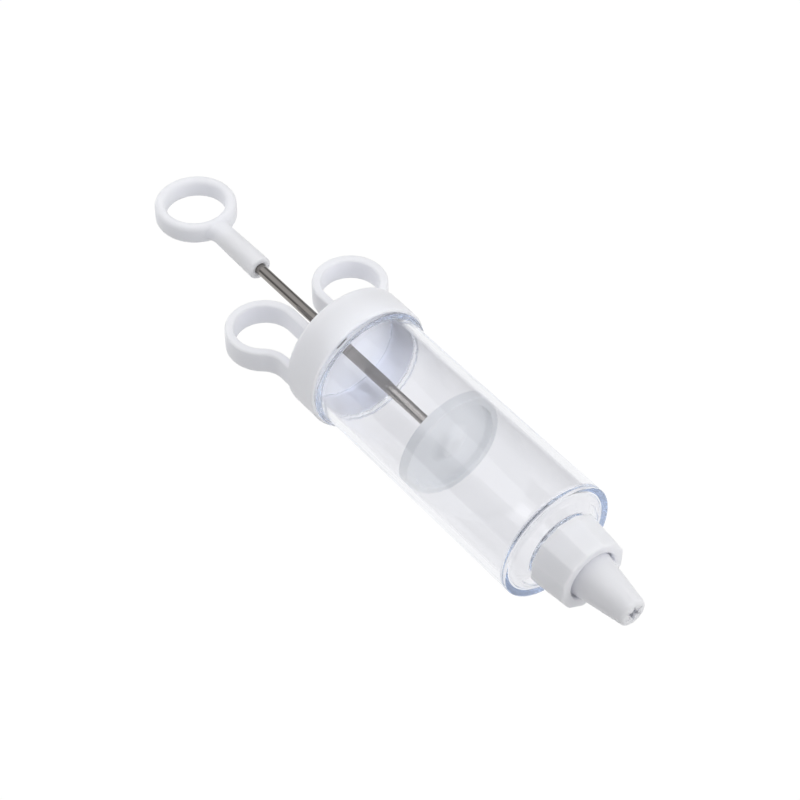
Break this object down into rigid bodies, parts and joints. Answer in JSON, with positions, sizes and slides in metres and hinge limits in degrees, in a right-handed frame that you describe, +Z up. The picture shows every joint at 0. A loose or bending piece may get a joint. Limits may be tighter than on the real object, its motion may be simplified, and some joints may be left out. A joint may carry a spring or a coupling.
{
  "type": "cake decorating syringe",
  "caption": "Clear-barrelled kitchen syringe for piping icing: a thumb-ring plunger, a screw cap with finger loops, and a star nozzle held by a ring nut",
  "frame": {"origin": "on the floor, under the middle of the whole syringe as posed", "axes": "+X along the syringe towards the nozzle, +Y across the finger loops, +Z up from the facet of the cap that the syringe lies on"},
  "size_m": [0.2534, 0.0648, 0.0488],
  "materials": {
    "clear_plastic": "moulded clear plastic, polished",
    "white_plastic": "moulded, satin",
    "milky_plastic": "moulded, translucent, satin",
    "steel": "drawn bright"
  },
  "bodies": {
    "tube": {"barrel": "clear_plastic"},
    "cap": {"grip_cap": "white_plastic"},
    "plunger": {"piston": "milky_plastic"},
    "handle": {"plunger_rod": "steel", "thumb_ring": "white_plastic"},
    "tip": {"nozzle": "white_plastic"},
    "nut": {"nozzle_nut": "white_plastic"}
  },
  "joints": [
    {"name": "cap_lift", "type": "slide", "parent": "tube", "child": "cap", "axis": [-1, 0, 0], "range_m": [0, 0.115]},
    {"name": "plunger_slide", "type": "slide", "parent": "cap", "child": "plunger", "axis": [1, 0, 0], "range_m": [-0.0553, 0.0461]},
    {"name": "handle_spin", "type": "hinge", "parent": "plunger", "child": "handle", "pos_m": [-0.06, 0, 0.02442], "axis": [1, 0, 0], "continuous": true},
    {"name": "nozzle_draw", "type": "slide", "parent": "tube", "child": "tip", "axis": [1, 0, 0], "range_m": [0, 0.0101]},
    {"name": "nut_turn", "type": "hinge", "parent": "tip", "child": "nut", "pos_m": [0.1, 0, 0.02442], "axis": [1, 0, 0], "range_deg": [0, 1440]}
  ],
  "couplings": [
    {"joint": "nozzle_draw", "follows": "nut_turn", "m_per_rad": 0.00039789}
  ]
}
